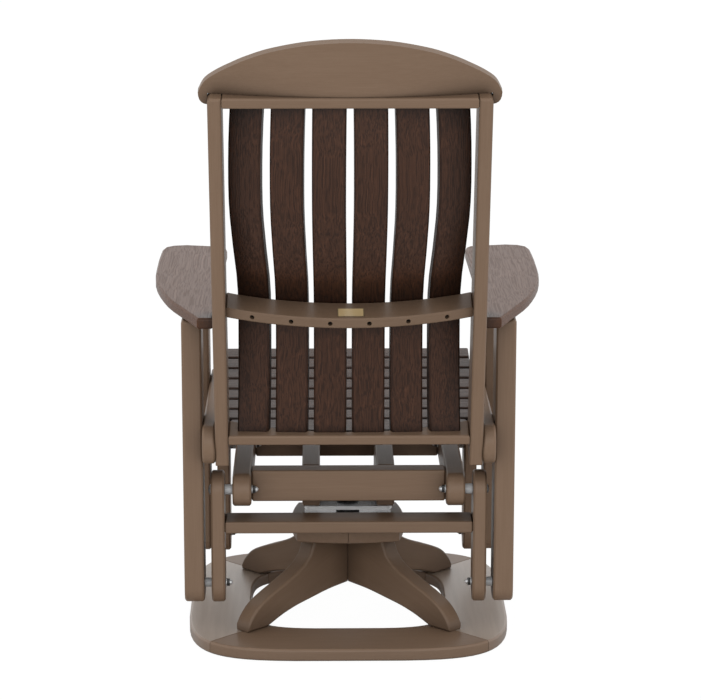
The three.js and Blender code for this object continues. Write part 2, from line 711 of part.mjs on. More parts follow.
// Head board: the upright outline cut out of a slab that bends round the sitter
function addHeadBoard () {
  const seat = postLength + gap
  const lobeInner = postOuter + gap
  const top = postLength + headRise
  const arch = headArchShares.map(([halfShare, riseShare]) =>
    new THREE.Vector2(halfShare * headHalf, postLength + riseShare * headRise))
  const farArch = arch.map(point => new THREE.Vector2(-point.x, point.y)).reverse()
  const outline = new THREE.Shape()
  outline.moveTo(-lobeInner, seat)
  outline.lineTo(lobeInner, seat)
  outline.lineTo(lobeInner, postLength - headLobeDrop)
  outline.quadraticCurveTo(headHalf, postLength - headLobeDrop, headHalf, postLength)
  outline.splineThru([...arch, new THREE.Vector2(0, top), ...farArch, new THREE.Vector2(-headHalf, postLength)])
  outline.quadraticCurveTo(-headHalf, postLength - headLobeDrop, -lobeInner, postLength - headLobeDrop)
  outline.closePath()
  const depth = headBendRadius / 4
  const prism = new THREE.ExtrudeGeometry(outline, { depth, bevelEnabled: false, curveSegments: curveSteps })
  layBoard(prism, axisX, axisZ, new THREE.Vector3(0, depth / 2, 0))

  const bendCentre = -headRearInset - headBendRadius
  const spread = Math.asin((headHalf + cutOverrun) / (headBendRadius - headThick))
  const slabPlan = new THREE.Shape()
  slabPlan.absarc(0, bendCentre, headBendRadius, Math.PI / 2 - spread, Math.PI / 2 + spread, false)
  slabPlan.absarc(0, bendCentre, headBendRadius - headThick, Math.PI / 2 + spread, Math.PI / 2 - spread, true)
  slabPlan.closePath()
  const slab = new THREE.ExtrudeGeometry(slabPlan, { depth: top, bevelEnabled: false,
    curveSegments: headBendSteps })
  slab.translate(0, 0, postLength / 2)
  add(back, 'head_board', fromSolid(toSolid(prism).intersect(toSolid(slab))), taupe)
}

// Arms: leaf-shaped boards that rise a little towards the front
function addArms () {
  const inner = postOuter + gap
  for (const [name, side] of sides) {
    const arm = new THREE.Group()
    arm.position.set(0, armRearY, armRearZ)
    arm.rotation.x = -armSlope
    chair.add(arm)
    const rearOuter = legInner + legThick / 8
    const edge = armEdgeShares.map(([lengthShare, outwardShare]) => new THREE.Vector2(
      side * (rearOuter + outwardShare * (armOuterHalf - rearOuter)), -lengthShare * armLength))
    const shape = new THREE.Shape()
    shape.moveTo(side * inner, 0)
    shape.lineTo(edge[0].x, edge[0].y)
    shape.splineThru(edge.slice(1))
    const cornerX = edge[edge.length - 1].x
    shape.quadraticCurveTo(cornerX, -armLength + gap, cornerX - side * 2 * armFrontCorner, -armLength)
    shape.lineTo(side * (armFrontInner + armFrontCorner), -armLength + armFrontCorner / 2)
    shape.quadraticCurveTo(side * armFrontInner, -armLength + armFrontCorner / 2, side * armFrontInner,
      -armLength + 2 * armFrontCorner)
    shape.lineTo(side * inner, -postDeep)
    shape.closePath()
    add(arm, `arm_${name}`, boardGeometry(shape, armThick, edgeRound, splineSteps), armGrain)
  }
}

addRing()
addBaseLegs()
addHub()
addSwivel()
addFrame()
addLinks()
addPivots()
addLegs()
addSeat()
addBackRails()
addBackSlats()
addPosts()
addHeadBoard()
addArms()

// Origin under the middle of the bounding box
const bounds = new THREE.Box3().setFromObject(chair, true)
chair.position.y = -(bounds.min.y + bounds.max.y) / 2

export default chair
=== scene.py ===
"""Looks of a swivel glider chair in poly lumber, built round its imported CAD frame.

The boards are taken from the CAD solids, their edges are eased and they get streaked or grained
finishes. The pivot hardware, the swivel's bearing, cap and bolts, the lumbar screws and the label
are modelled here. Lengths are in metres.
"""
import json
import math

import bmesh
import bpy
from bpy.props import FloatProperty, FloatVectorProperty, IntProperty, PointerProperty
from mathutils import Matrix, Vector

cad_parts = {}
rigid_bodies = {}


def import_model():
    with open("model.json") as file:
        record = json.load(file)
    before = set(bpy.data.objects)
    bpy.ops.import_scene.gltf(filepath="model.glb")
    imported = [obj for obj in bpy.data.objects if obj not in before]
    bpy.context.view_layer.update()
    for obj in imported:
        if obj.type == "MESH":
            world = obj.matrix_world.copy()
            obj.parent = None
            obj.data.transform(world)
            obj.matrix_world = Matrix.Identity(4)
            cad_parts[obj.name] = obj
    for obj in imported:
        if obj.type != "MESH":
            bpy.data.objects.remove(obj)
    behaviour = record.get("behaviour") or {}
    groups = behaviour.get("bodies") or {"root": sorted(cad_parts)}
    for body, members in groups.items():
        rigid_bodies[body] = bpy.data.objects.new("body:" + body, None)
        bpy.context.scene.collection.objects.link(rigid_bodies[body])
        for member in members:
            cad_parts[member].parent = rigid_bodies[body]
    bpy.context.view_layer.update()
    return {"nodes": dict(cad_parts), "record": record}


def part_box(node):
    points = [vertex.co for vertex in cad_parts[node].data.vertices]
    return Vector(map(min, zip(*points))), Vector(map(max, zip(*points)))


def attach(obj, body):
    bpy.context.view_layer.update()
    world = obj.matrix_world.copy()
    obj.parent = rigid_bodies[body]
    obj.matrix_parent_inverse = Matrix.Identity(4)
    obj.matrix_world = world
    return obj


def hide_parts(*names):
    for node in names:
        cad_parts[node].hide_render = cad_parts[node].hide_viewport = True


bl_info = {
    "name": "Swivel glider chair",
    "version": (1, 0, 0),
    "blender": (4, 5, 0),
    "location": "View3D > Sidebar > Glider",
    "description": "Finishes the boards and hardware of a swivel glider chair and lights it",
    "category": "Object",
}

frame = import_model()

BODIES = {node: body for body, nodes in frame["record"]["behaviour"]["bodies"].items() for node in nodes}
JOINTS = {joint["name"]: joint for joint in frame["record"]["behaviour"]["joints"]}
AXIS_Y = JOINTS["swivel"]["pos_m"][1]
SIDES = (("left", 1), ("right", -1))
ENDS = (("rear", 1), ("front", -1))
SEAT_SLATS = 8
BACK_SLATS = 6

# The back: its lean, its foot, its directions upwards and rearwards, its bow and the pitch of its slats
LEAN = math.radians(15.8)
BACK_FOOT = Vector((0, AXIS_Y + 0.222, 0.330))
BACK_UP = Vector((0, math.sin(LEAN), math.cos(LEAN)))
BACK_REARWARDS = Vector((0, math.cos(LEAN), -math.sin(LEAN)))
BOW_RADIUS = 0.55
SLAT_PITCH = 0.065

# The slats' feet move rearwards: from how far below the lumbar rail, over what length, and how far
SLAT_FOOT_FROM = 0.02
SLAT_FOOT_LENGTH = 0.25
SLAT_FOOT_BACK = 0.008

# The lumbar rail, rearwards and upwards from the back's foot, and its six sunk screws
LUMBAR_REAR = 0.028
LUMBAR_MIDDLE = 0.29275
SCREW_PLACES = (-2.5, -1.5, -0.5, 0.5, 1.5, 2.5)
SCREW_RADIUS = 0.0036
SCREW_LENGTH = 0.006
SCREW_DEPTH = 0.007
SOCKET_DEPTH = 0.0016

# The label on the lumbar rail: its middle aside, upwards and rearwards, its thickness, corners and rim
LABEL_ASIDE = -0.0018
LABEL_UP = 0.30205
LABEL_BACK = 0.005
LABEL_THICKNESS = 0.0007
LABEL_CORNER = 0.003
LABEL_RIM = 0.0016
LABEL_RIM_HEIGHT = 0.00025

# The swivel: the grooved bearing between the plates, the cap on the upper plate, the bolts on the lower
BEARING_RADIUS = 0.021
BEARING_INSET = 0.0035
BEARING_GROOVE = (0.3, 0.7)
CAP_RADIUS = 0.0195
CAP_GAP = 0.0003
CAP_TOP = 0.02
PLATE_BOLT_OFFSETS = (-0.062, 0.062)
PLATE_BOLT_RADIUS = 0.0065
PLATE_BOLT_HEIGHT = 0.0035
PLATE_BOLT_SEAT = 0.003

# The pivot sets: play against the boards, the bolt's reach into nut and head, and sizes of the parts
PIVOT_GAP = 0.0003
BOLT_IN_NUT = 0.004
BOLT_IN_HEAD = 0.0008
HEAD_HEIGHT = 0.005
HEAD_SINK = 0.0055
UPPER_SLEEVE_RADIUS = 0.009
LOWER_SLEEVE_RADIUS = 0.0082
WASHER_THICKNESS = 0.002
NUT_LENGTH = 0.0052
NUT_DOME_HEIGHT = 0.0054

# The stage: the camera's sensor in millimetres, its aim aside, the floor and the key lamp
SENSOR_WIDTH = 36
AIM_ASIDE = -0.005
FLOOR_SIZE = 30
FLOOR_DROP = 0.0005
LAMP_PLACE = Vector((0.3, AXIS_Y + 4.7, 1.75))
LAMP_AIM = Vector((0, AXIS_Y, 0.5))
LAMP_SIZE = (3.2, 2.4)


def tone(red, green, blue):
    """Turns a colour as seen on a screen, 0 to 255, into the linear numbers of a shader."""
    def linear(level):
        level /= 255
        return level / 12.92 if level <= 0.04045 else ((level + 0.055) / 1.055) ** 2.4
    return tuple(linear(level) for level in (red, green, blue))


def opaque(colour):
    """Adds full opacity to a colour of three numbers."""
    return (*colour, 1.0)


# Sizes and colours that a user may change

class BoardProperties(bpy.types.PropertyGroup):
    """Edges of the boards and the scale of their streaks and grain"""
    board_ease: FloatProperty(
        name="Board edge easing", description="Width of the extra rounding on thick boards",
        default=0.0012, min=0.0002, max=0.004, unit="LENGTH", subtype="DISTANCE")
    slat_ease: FloatProperty(
        name="Slat edge easing", description="Width of the extra rounding on slats",
        default=0.0007, min=0.0001, max=0.003, unit="LENGTH", subtype="DISTANCE")
    ease_steps: IntProperty(
        name="Easing steps", description="Facets across each eased edge", default=2, min=1, max=5)
    streak_width: FloatProperty(
        name="Streak width", description="Width of the fine streaks on plain boards",
        default=0.0014, min=0.0005, max=0.01, unit="LENGTH", subtype="DISTANCE")
    streak_length: FloatProperty(
        name="Streak length", description="Length of the fine streaks on plain boards",
        default=0.06, min=0.01, max=0.5, unit="LENGTH", subtype="DISTANCE")
    grain_width: FloatProperty(
        name="Grain width", description="Distance between the embossed grain lines",
        default=0.0019, min=0.0005, max=0.01, unit="LENGTH", subtype="DISTANCE")
    grain_length: FloatProperty(
        name="Grain length", description="Length of one embossed grain line",
        default=0.3, min=0.01, max=0.9, unit="LENGTH", subtype="DISTANCE")
    grain_wander: FloatProperty(
        name="Grain wander", description="How far a grain line bends sideways",
        default=0.0036, min=0.0, max=0.02, unit="LENGTH", subtype="DISTANCE")


class ColourProperties(bpy.types.PropertyGroup):
    """Colours of the lumber, the hardware and the label"""
    taupe: FloatVectorProperty(
        name="Plain board", description="Colour of the posts, legs, rails, ring and head board",
        subtype="COLOR", size=3, min=0, max=1, default=tone(127, 104, 85))
    taupe_streak: FloatVectorProperty(
        name="Plain board streak", description="Colour of the darker streaks in the plain boards",
        subtype="COLOR", size=3, min=0, max=1, default=tone(121, 98, 79))
    grain_body: FloatVectorProperty(
        name="Slat", description="Main colour of the grained slats",
        subtype="COLOR", size=3, min=0, max=1, default=tone(67, 42, 29))
    grain_groove: FloatVectorProperty(
        name="Slat groove", description="Colour down in the grain of the slats",
        subtype="COLOR", size=3, min=0, max=1, default=tone(48, 29, 19))
    grain_ridge: FloatVectorProperty(
        name="Slat ridge", description="Colour on the ridges of the grain",
        subtype="COLOR", size=3, min=0, max=1, default=tone(84, 57, 43))
    arm_body: FloatVectorProperty(
        name="Arm", description="Main colour of the arms",
        subtype="COLOR", size=3, min=0, max=1, default=tone(92, 58, 36))
    steel: FloatVectorProperty(
        name="Steel", description="Colour of the pivot hardware and the swivel plates",
        subtype="COLOR", size=3, min=0, max=1, default=tone(214, 215, 216))
    bearing: FloatVectorProperty(
        name="Bearing", description="Colour of the bearing between the swivel plates",
        subtype="COLOR", size=3, min=0, max=1, default=tone(26, 26, 27))
    label: FloatVectorProperty(
        name="Label", description="Field colour of the blank label on the lumbar rail",
        subtype="COLOR", size=3, min=0, max=1, default=tone(196, 170, 124))


class HardwareProperties(bpy.types.PropertyGroup):
    """Sizes of the pivot hardware, the screws and the label"""
    bolt_radius: FloatProperty(
        name="Bolt radius", description="Radius of the pivot bolts",
        default=0.005, min=0.002, max=0.01, unit="LENGTH", subtype="DISTANCE")
    head_radius: FloatProperty(
        name="Head radius", description="Radius of the domed bolt heads",
        default=0.009, min=0.005, max=0.02, unit="LENGTH", subtype="DISTANCE")
    washer_radius: FloatProperty(
        name="Washer radius", description="Radius of the washers under the nuts",
        default=0.0074, min=0.005, max=0.02, unit="LENGTH", subtype="DISTANCE")
    nut_radius: FloatProperty(
        name="Nut radius", description="Radius of the nuts over their corners",
        default=0.0068, min=0.004, max=0.02, unit="LENGTH", subtype="DISTANCE")
    label_width: FloatProperty(
        name="Label width", description="Width of the blank label",
        default=0.0445, min=0.01, max=0.1, unit="LENGTH", subtype="DISTANCE")
    label_depth: FloatProperty(
        name="Label depth", description="Depth of the blank label",
        default=0.029, min=0.01, max=0.1, unit="LENGTH", subtype="DISTANCE")


class StageProperties(bpy.types.PropertyGroup):
    """Camera, lights and floor"""
    camera_distance: FloatProperty(
        name="Camera distance", description="Distance from the camera to the aim point",
        default=4.821, min=1, max=20, unit="LENGTH", subtype="DISTANCE")
    camera_height: FloatProperty(
        name="Aim height", description="Height of the point that the camera looks at",
        default=0.4850, min=0, max=2, unit="LENGTH", subtype="DISTANCE")
    camera_pitch: FloatProperty(
        name="Camera pitch", description="How far the camera looks down",
        default=math.radians(12.85), min=0, max=1.5, subtype="ANGLE")
    camera_turn: FloatProperty(
        name="Camera turn", description="How far the camera stands towards the sitter's left",
        default=math.radians(0.68), min=-3.2, max=3.2, subtype="ANGLE")
    lens: FloatProperty(
        name="Lens", description="Focal length in millimetres on a 36 mm sensor",
        default=138.67, min=20, max=400)
    sky: FloatProperty(
        name="Sky light", description="Strength of the light from all round",
        default=0.9, min=0, max=2)
    key: FloatProperty(
        name="Key light", description="Power of the large lamp behind the camera",
        default=34, min=0, max=1000)


# Node trees

class Reading:
    """A socket of a material's tree. Reckoning with it adds Math nodes."""

    def __init__(self, finish, socket):
        self.finish = finish
        self.socket = socket

    def reckon(self, operation, *values):
        return self.finish.node("ShaderNodeMath", {"operation": operation}, dict(enumerate(values)))

    def __add__(self, other):
        return self.reckon("ADD", self, other)

    def __radd__(self, other):
        return self.reckon("ADD", other, self)

    def __sub__(self, other):
        return self.reckon("SUBTRACT", self, other)

    def __rsub__(self, other):
        return self.reckon("SUBTRACT", other, self)

    def __mul__(self, other):
        return self.reckon("MULTIPLY", self, other)

    def __rmul__(self, other):
        return self.reckon("MULTIPLY", other, self)

    def clipped(self, low, high):
        """Spreads the part between low and high over 0 to 1 and clips the rest."""
        return self.finish.node("ShaderNodeMapRange", {"clamp": True, "interpolation_type": "SMOOTHSTEP"},
                                {"Value": self, "From Min": low, "From Max": high})

    def most(self, other):
        return self.reckon("MAXIMUM", self, other)


class Finish:
    """A node tree under construction, of a material or of the world."""

    def __init__(self, owner):
        owner.use_nodes = True
        self.owner = owner
        self.tree = owner.node_tree
        self.tree.nodes.clear()

    def node(self, kind, settings=None, inputs=None, output=0):
        """Adds a node, sets it up, feeds its sockets and hands back one of its outputs, if it has any."""
        made = self.tree.nodes.new(kind)
        for name, value in (settings or {}).items():
            setattr(made, name, value)
        for key, value in (inputs or {}).items():
            if isinstance(value, Reading):
                self.tree.links.new(value.socket, made.inputs[key])
            else:
                made.inputs[key].default_value = value
        return Reading(self, made.outputs[output]) if len(made.outputs) else None

    def blend(self, share, first, second):
        """Mixes two colours by a share."""
        return self.node("ShaderNodeMix", {"data_type": "RGBA"}, {0: share, 6: first, 7: second}, output=2)

    def vector(self, operation, first, second):
        """Reckons with two vectors."""
        return self.node("ShaderNodeVectorMath", {"operation": operation}, {0: first, 1: second})

    def scaled(self, colour, share):
        """Makes a colour darker or lighter."""
        return self.node("ShaderNodeVectorMath", {"operation": "SCALE"}, {0: colour, "Scale": share})

    def noise(self, place, detail=2.0, roughness=0.5, output=0):
        """A cloudy pattern whose spots are about as large as one unit of its coordinates."""
        return self.node("ShaderNodeTexNoise", None,
                         {"Vector": place, "Scale": 1.0, "Detail": detail, "Roughness": roughness}, output)

    def local(self, turn, size=(1.0, 1.0, 1.0), place=None):
        """Coordinates along and across a board, with Z along it, measured in units of size."""
        if place is None:
            place = self.node("ShaderNodeTexCoord", output=3)
        return self.node("ShaderNodeMapping", {"vector_type": "TEXTURE"},
                         {"Vector": place, "Rotation": turn, "Scale": size})

    def corner_shade(self, colour, least, reach):
        """Paints shade into a colour in narrow corners, where less light reaches. least is what stays at the
        darkest.
        """
        free = self.node("ShaderNodeAmbientOcclusion", {"samples": 8}, {"Distance": reach}, output=1)
        return self.scaled(colour, free * free * (1 - least) + least)

    def bump(self, height, strength, distance):
        """A normal that follows a height."""
        return self.node("ShaderNodeBump", None,
                         {"Strength": strength, "Distance": distance, "Height": height})

    def surface(self, shader, end="ShaderNodeOutputMaterial"):
        """Ends the tree and hands back what it belongs to."""
        self.node(end, None, {"Surface": shader})
        return self.owner


finishes = {}


def turn_to(direction):
    """Rotation that lays the streaks' Z along a direction."""
    return tuple(Vector(direction).to_track_quat("Z", "Y").to_euler())


UNTURNED = (0, 0, 0)
LENGTHS = {
    "across": turn_to((1, 0, 0)),
    "fore_aft": turn_to((0, 1, 0)),
    "upright": turn_to((0, 0, 1)),
    "leaning": turn_to(BACK_UP),
    "splayed": turn_to((0.67, 0.67, -0.33)),
}

# Sizes of patterns: twice across a board, then along it. Broad streaks and bands are given in units of
# the fine ones, across and along. A drift has its size across, its size along and its share of the wander.
CLOUD_SIZE = (0.11, 0.11, 0.3)
SPECK_SIZE = (0.0008, 0.0008, 0.0022)
BROAD_STREAK = (7, 2.4)
GRAIN_CLOUD_SIZE = (0.06, 0.06, 0.2)
GRAIN_BAND = (3.2, 2.6)
GRAIN_DRIFTS = ((0.05, 0.045, 1.0), (0.02, 0.018, 0.25))

# The least shade and the reach of the painted shade in the corners between the slats
SLAT_CORNER_SHADE = (0.16, 0.052)

# Pale colour of the painted sheen on the tops of the ring's side boards
SHEEN_COLOUR = tone(190, 178, 165)
BEARING_OIL = tone(44, 43, 42)
LABEL_RIM_COLOUR = tone(120, 104, 78)

# Kinds of steel: shade, share of metal and least roughness. The dark kind paints the dark reflections of the
# nuts' sides.
STEEL_KINDS = {
    "bright": (1.0, 0.6, 0.26),
    "dull": (1.0, 0.1, 0.4),
    "dark": (0.09, 0.5, 0.3),
    "sheet": (0.3, 0.9, 0.1),
}

# Kinds of plain board: painted light or shade level, coat, painted sheen on top, and the least shade and the
# reach of the painted shade in corners
BOARD_KINDS = {
    "plain": (1.0, 0.0, 0.0, 0.68, 0.05),
    "frame": (1.1, 0.0, 0.0, 0.75, 0.05),
    "cornered": (0.86, 0.0, 0.0, 0.6, 0.06),
    "head": (1.0, 0.0, 0.0, 0.1, 0.07),
    "splayed": (0.82, 0.0, 0.0, 0.5, 0.05),
    "ring_end": (0.97, 0.3, 0.0, 0.85, 0.04),
    "ring_side": (1.0, 1.0, 0.34, 0.85, 0.04),
}


def lumber(finish, colour, rough, normal, coat):
    """Ends the tree of a board, with a soft sheen as far as it has a coat."""
    shader = finish.node("ShaderNodeBsdfPrincipled", None,
                         {"Base Color": colour, "Roughness": rough, "IOR": 1.32, "Normal": normal,
                          "Coat Weight": coat, "Coat Roughness": 0.4})
    return finish.surface(shader)


def taupe_board(length, kind="plain"):
    """Plain poly lumber with fine brushed streaks along the board."""
    key = f"taupe_board_{length}_{kind}"
    if key in finishes:
        return finishes[key]
    level, coat, top_sheen, least, reach = BOARD_KINDS[kind]
    boards, colours = bpy.context.scene.glider_boards, bpy.context.scene.glider_colours
    finish = Finish(bpy.data.materials.new(key))
    place = None
    if length == "splayed":
        # The four quarters are folded onto one, so that the streaks run along every leg
        place = finish.vector("SUBTRACT", finish.node("ShaderNodeTexCoord", output=3), (0, AXIS_Y, 0))
        place = finish.node("ShaderNodeVectorMath", {"operation": "ABSOLUTE"}, {0: place})
    turn = LENGTHS[length]
    wide, far = boards.streak_width, boards.streak_length
    fine = finish.noise(finish.local(turn, (wide, wide, far), place), detail=3, roughness=0.6)
    wide, far = wide * BROAD_STREAK[0], far * BROAD_STREAK[1]
    broad = finish.noise(finish.local(turn, (wide, wide, far), place))
    cloud = finish.noise(finish.local(turn, CLOUD_SIZE, place))
    speck = finish.noise(finish.local(turn, SPECK_SIZE, place), detail=1)
    share = fine.clipped(0.34, 0.68) * 0.62 + broad.clipped(0.3, 0.7) * 0.38
    colour = finish.blend(share, opaque(colours.taupe_streak), opaque(colours.taupe))
    # The kind's level paints light or shade: some boards are painted lighter or darker than the rest
    colour = finish.scaled(colour, (0.96 + cloud * 0.08) * level)
    # Painted sheen: faces that look upwards are lightened towards a pale colour, as a painted reflection
    if top_sheen:
        facing = finish.node("ShaderNodeNewGeometry", output=1)
        upwards = finish.node("ShaderNodeSeparateXYZ", None, {0: facing}, 2).clipped(0.8, 1.0)
        share = upwards * (broad.clipped(0.2, 0.8) * 0.5 + 0.75) * top_sheen
        colour = finish.blend(share, colour, opaque(SHEEN_COLOUR))
    # Painted shade: darker in narrow corners, where less light reaches
    colour = finish.corner_shade(colour, least, reach)
    rough = 0.4 - fine * 0.06 + speck * 0.08
    normal = finish.bump(fine * 0.7 + speck * 0.3, strength=0.16, distance=0.0003)
    finishes[key] = lumber(finish, colour, rough, normal, coat)
    return finishes[key]


def grained_board(length, body="grain_body", stretch=1.0, contrast=1.0, coat=0.0):
    """Poly lumber with an embossed wood grain: wandering grooves along the board.

    body names its main colour, stretch makes the grain longer and contrast makes it stand out.
    """
    key = f"{'arm' if body == 'arm_body' else 'grained'}_board_{length}"
    if key in finishes:
        return finishes[key]
    boards, colours = bpy.context.scene.glider_boards, bpy.context.scene.glider_colours
    finish = Finish(bpy.data.materials.new(key))
    straight = finish.local(LENGTHS[length])
    wavy = straight
    for across, along, share in GRAIN_DRIFTS:
        drift = finish.noise(finish.local(UNTURNED, (across, across, along * stretch), straight),
                             detail=1, output=1)
        drift = finish.vector("SUBTRACT", drift, (0.5, 0.5, 0.5))
        aside = boards.grain_wander * 2 * share
        wavy = finish.vector("ADD", wavy, finish.vector("MULTIPLY", drift, (aside, aside, 0)))
    wide, far = boards.grain_width, boards.grain_length * stretch
    lines = finish.noise(finish.local(UNTURNED, (wide, wide, far), wavy), roughness=0.55)
    wide, far = wide * GRAIN_BAND[0], far * GRAIN_BAND[1]
    bands = finish.noise(finish.local(UNTURNED, (wide, wide, far), wavy))
    cloud = finish.noise(finish.local(UNTURNED, GRAIN_CLOUD_SIZE, straight))
    groove = lines.clipped(0.36, 0.56)
    ridge = lines.clipped(0.52, 0.72) * bands.clipped(0.38, 0.66)
    main = Vector(getattr(colours, body))
    deep, light = (main.lerp(main * (Vector(colour).length / Vector(colours.grain_body).length), contrast)
                   for colour in (colours.grain_groove, colours.grain_ridge))
    dark = finish.blend(groove, opaque(deep), opaque(main))
    colour = finish.blend(ridge * 0.85, dark, opaque(light))
    colour = finish.scaled(colour, 0.9 + bands * 0.1 + cloud * 0.1)
    # Painted shade in the corners between the slats
    colour = finish.corner_shade(colour, *SLAT_CORNER_SHADE)
    rough = 0.42 - groove * 0.1 - ridge * 0.04
    normal = finish.bump(groove * 0.75 + ridge * 0.25, strength=0.35 * contrast, distance=0.0006)
    finishes[key] = lumber(finish, colour, rough, normal, coat)
    return finishes[key]


def steel(kind="bright"):
    """Steel with faint turning marks, dull on sleeves, dark on the nuts' sides as a painted dark reflection,
    or sheet on the plates.
    """
    key = f"{kind}_steel"
    if key in finishes:
        return finishes[key]
    colours = bpy.context.scene.glider_colours
    level, shine, least = STEEL_KINDS[kind]
    finish = Finish(bpy.data.materials.new(key))
    marks = finish.noise(finish.local(UNTURNED, (0.0006, 0.004, 0.004)))
    stain = finish.noise(finish.local(UNTURNED, (0.02, 0.02, 0.02)), detail=3)
    colour = finish.scaled(tuple(colours.steel), (0.9 + stain * 0.2) * level)
    rough = least + marks * 0.16 + stain * 0.06
    normal = finish.bump(marks, strength=0.12, distance=0.0002)
    shader = finish.node("ShaderNodeBsdfPrincipled", None,
                         {"Base Color": colour, "Metallic": shine, "Roughness": rough, "Normal": normal})
    finishes[key] = finish.surface(shader)
    return finishes[key]


def black_bearing():
    """Dark oiled steel of the bearing, the cap and the lumbar screws."""
    key = "black_bearing"
    if key in finishes:
        return finishes[key]
    colours = bpy.context.scene.glider_colours
    finish = Finish(bpy.data.materials.new(key))
    oil = finish.noise(finish.local(UNTURNED, (0.006, 0.006, 0.003)), detail=3)
    colour = finish.blend(oil.clipped(0.3, 0.7), opaque(colours.bearing), opaque(BEARING_OIL))
    shader = finish.node("ShaderNodeBsdfPrincipled", None,
                         {"Base Color": colour, "Metallic": 0.6, "Roughness": 0.3 + oil * 0.2})
    finishes[key] = finish.surface(shader)
    return finishes[key]


def label_finish(part):
    """Satin finish of the blank label, its field or its rim."""
    key = f"label_{part}"
    if key in finishes:
        return finishes[key]
    colours = bpy.context.scene.glider_colours
    base = colours.label if part == "field" else LABEL_RIM_COLOUR
    finish = Finish(bpy.data.materials.new(key))
    brushed = finish.noise(finish.local(LENGTHS["across"], (0.0005, 0.0005, 0.012)))
    colour = finish.scaled(tuple(base), 0.9 + brushed * 0.2)
    shader = finish.node("ShaderNodeBsdfPrincipled", None,
                         {"Base Color": colour, "Roughness": 0.34 + brushed * 0.1, "IOR": 1.5})
    finishes[key] = finish.surface(shader)
    return finishes[key]


# Modelling helpers

def only(piece):
    """Selects one object and makes it the active one."""
    if bpy.context.mode != "OBJECT":
        bpy.ops.object.mode_set(mode="OBJECT")
    bpy.ops.object.select_all(action="DESELECT")
    piece.hide_set(False)
    piece.select_set(True)
    bpy.context.view_layer.objects.active = piece


def edit(piece):
    """Opens one object in edit mode with faces to select and nothing selected."""
    only(piece)
    bpy.ops.object.mode_set(mode="EDIT")
    bpy.ops.mesh.select_mode(type="FACE")
    bpy.ops.mesh.select_all(action="DESELECT")


def pick(test):
    """Selects the faces of the open mesh that pass a test."""
    mesh = bpy.context.edit_object.data
    shape = bmesh.from_edit_mesh(mesh)
    for face in shape.faces:
        face.select_set(bool(test(face)))
    shape.select_flush_mode()
    bmesh.update_edit_mesh(mesh)


def leave():
    """Closes edit mode."""
    bpy.ops.object.mode_set(mode="OBJECT")


def cut(level):
    """Cuts new edges round the open mesh at a height."""
    bpy.ops.mesh.select_all(action="SELECT")
    bpy.ops.mesh.bisect(plane_co=(0, 0, level), plane_no=(0, 0, 1))


def smooth(angle):
    """Shades the active piece smooth, but for edges that turn more than an angle in degrees."""
    bpy.ops.object.shade_smooth_by_angle(angle=math.radians(angle))


def added(name):
    """Names the primitive that was just added and lays its place into its mesh."""
    piece = bpy.context.view_layer.objects.active
    piece.name = name
    piece.data.name = name
    only(piece)
    bpy.ops.object.transform_apply(location=True, rotation=True, scale=True)
    return piece


def ease(piece, width, steps, angle=30.0):
    """Rounds the sharp edges of a piece and evens out its shading."""
    only(piece)
    bevel = piece.modifiers.new("Eased edges", "BEVEL")
    bevel.width = width
    bevel.segments = steps
    bevel.limit_method = "ANGLE"
    bevel.angle_limit = math.radians(angle)
    bpy.ops.object.modifier_apply(modifier=bevel.name)
    smooth(42)
    even = piece.modifiers.new("Even shading", "WEIGHTED_NORMAL")
    even.keep_sharp = True
    bpy.ops.object.modifier_apply(modifier=even.name)


def clad(piece, finish):
    """Gives a piece its finish all over."""
    piece.data.materials.clear()
    piece.data.materials.append(finish)


def clad_part(piece, finish, test):
    """Gives the faces of a piece that pass a test a second finish."""
    piece.data.materials.append(finish)
    edit(piece)
    pick(test)
    piece.active_material_index = 1
    bpy.ops.object.material_slot_assign()
    leave()


def seat_on(piece, node):
    """Lets a piece stand for a CAD node: it rides on the same body and hides the node."""
    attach(piece, BODIES[node])
    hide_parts(node)


def board(node, finish, width, steps, angle=30.0):
    """Makes the finished board of a CAD node: merged, with eased edges."""
    source = frame["nodes"][node]
    piece = source.copy()
    piece.data = source.data.copy()
    bpy.context.scene.collection.objects.link(piece)
    for key in [key for key in piece.keys() if key.startswith("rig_")]:
        del piece[key]
    only(piece)
    bpy.ops.object.parent_clear(type="CLEAR_KEEP_TRANSFORM")
    bpy.ops.object.transform_apply(location=True, rotation=True, scale=True)
    piece.name = f"{node}_board"
    piece.data.name = piece.name
    bpy.ops.mesh.customdata_custom_splitnormals_clear()
    edit(piece)
    bpy.ops.mesh.select_all(action="SELECT")
    bpy.ops.mesh.remove_doubles(threshold=0.00002)
    bpy.ops.mesh.dissolve_limited(angle_limit=math.radians(0.6))
    leave()
    ease(piece, width, steps, angle)
    clad(piece, finish)
    seat_on(piece, node)
    return piece


def thick_boards(nodes, length, kind="plain"):
    """Makes the finished plain boards of several nodes whose streaks run the same way."""
    sizes = bpy.context.scene.glider_boards
    for node in nodes:
        board(node, taupe_board(length, kind), sizes.board_ease, sizes.ease_steps)


def round_bar(name, radius, low, high, sides=40, rim=0.0004):
    """A round bar along Z with softened rims."""
    bpy.ops.mesh.primitive_cylinder_add(vertices=sides, radius=radius, depth=high - low,
                                        location=(0, 0, (low + high) / 2))
    bar = added(name)
    edit(bar)
    pick(lambda face: abs(face.normal.z) > 0.9)
    bpy.ops.mesh.bevel(offset=rim, segments=2, affect="EDGES")
    leave()
    return bar


def sleeve(name, radius, low, high):
    """A spacer sleeve along Z with a thin washer at its low end, set off by a groove."""
    bar = round_bar(name, radius, low, high)
    groove, half_width = low + 0.0022, 0.0005
    edit(bar)
    cut(groove - half_width)
    cut(groove + half_width)
    pick(lambda face: abs(face.calc_center_median().z - groove) < half_width)
    bpy.ops.mesh.inset(thickness=0.0001, depth=-0.0016, use_boundary=True)
    leave()
    return bar


